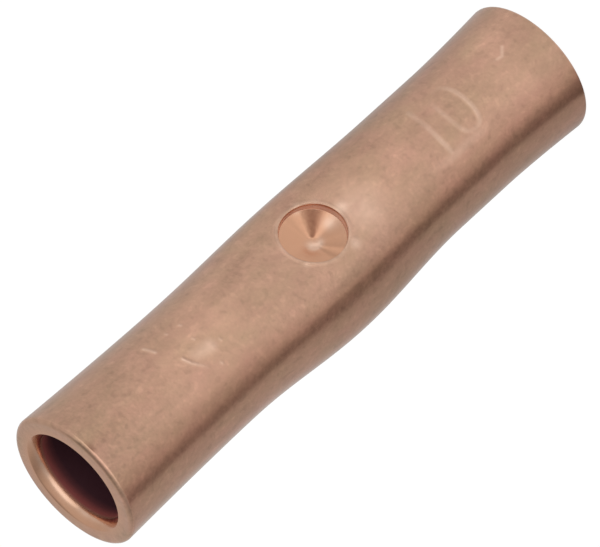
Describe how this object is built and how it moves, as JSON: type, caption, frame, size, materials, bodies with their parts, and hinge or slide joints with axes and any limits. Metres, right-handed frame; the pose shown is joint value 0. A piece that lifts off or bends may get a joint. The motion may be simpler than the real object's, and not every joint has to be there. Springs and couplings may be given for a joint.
{
  "type": "compression splice",
  "caption": "Tubular copper compression splice: a sleeve with flared mouths for a conductor at each end and a punched dimple at the middle as the conductor stop.",
  "frame": {"origin": "centre of the lower mouth, where the sleeve stands", "axes": "+Z along the sleeve from the lower mouth to the upper one, the punched stop faces -Y"},
  "size_m": [0.0068, 0.0066, 0.029],
  "materials": {
    "copper": "bare annealed copper, dull satin, slightly darkened"
  },
  "bodies": {
    "root": {"splice_sleeve": "copper"}
  },
  "joints": []
}
